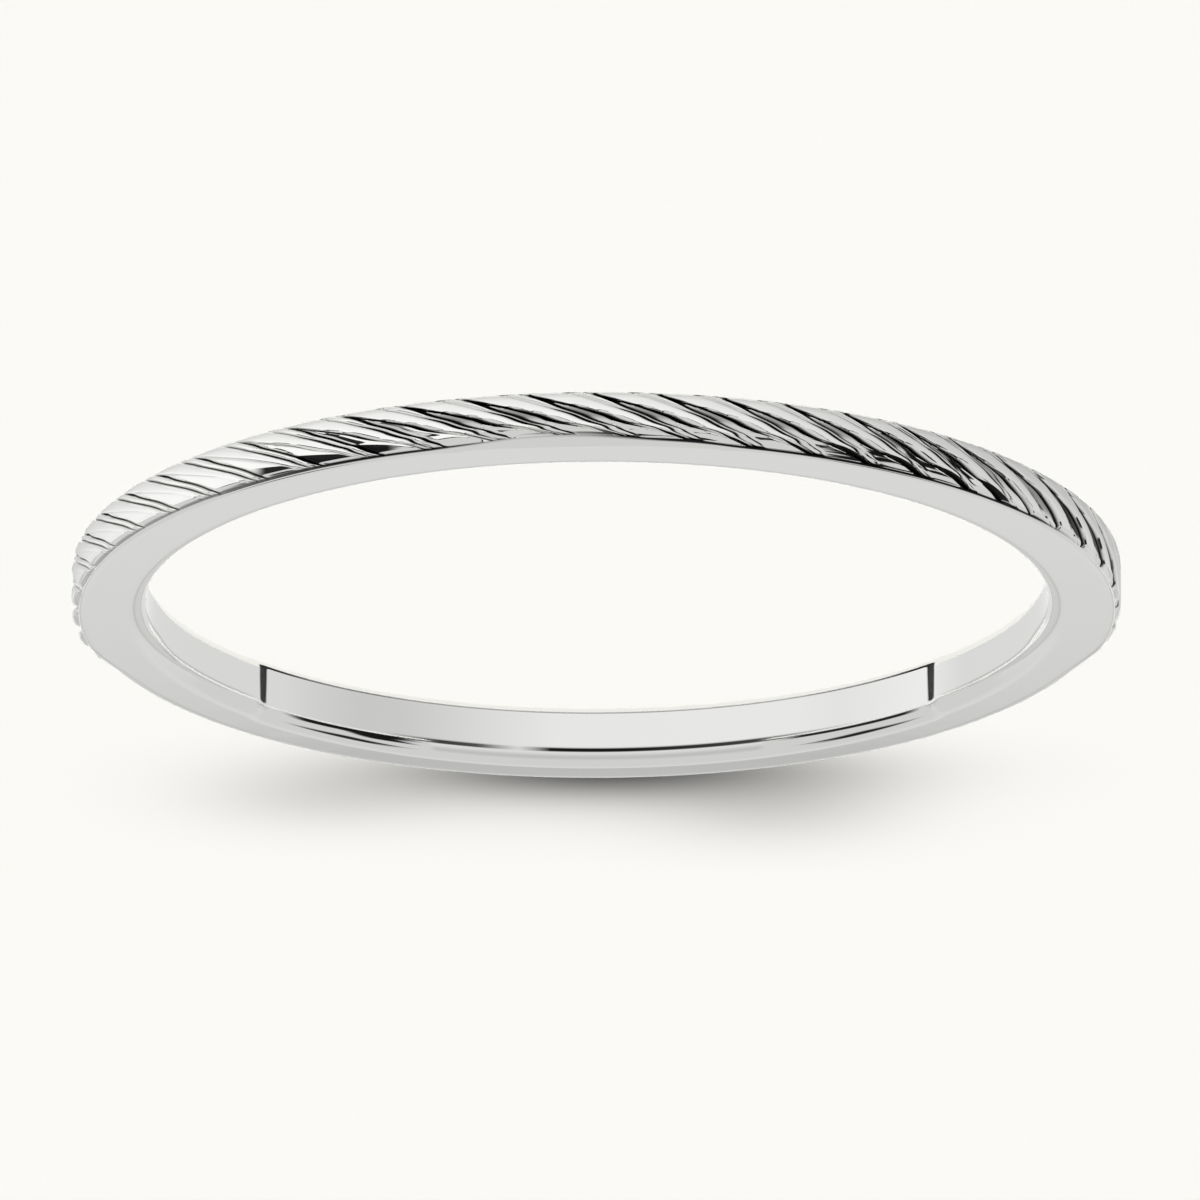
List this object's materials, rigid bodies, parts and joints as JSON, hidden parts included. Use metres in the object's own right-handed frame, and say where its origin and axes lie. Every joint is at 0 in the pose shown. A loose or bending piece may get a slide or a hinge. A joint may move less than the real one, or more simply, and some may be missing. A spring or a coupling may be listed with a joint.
{
  "type": "rope twist ring",
  "caption": "Slim polished finger ring with slanting rope twist strands round its front, a plain rounded shank behind and a shallow bare recess inside the finger hole.",
  "frame": {"origin": "middle of the finger hole, halfway between the two side faces", "axes": "+Z along the finger hole towards the front side face, which has the open edge of the inner recess; -Y towards the middle of the rope, +Y towards the middle of the plain shank and of the recess"},
  "size_m": [0.02, 0.02, 0.0012],
  "materials": {
    "white_metal": "polished white gold"
  },
  "bodies": {
    "root": {"band": "white_metal"}
  },
  "joints": []
}
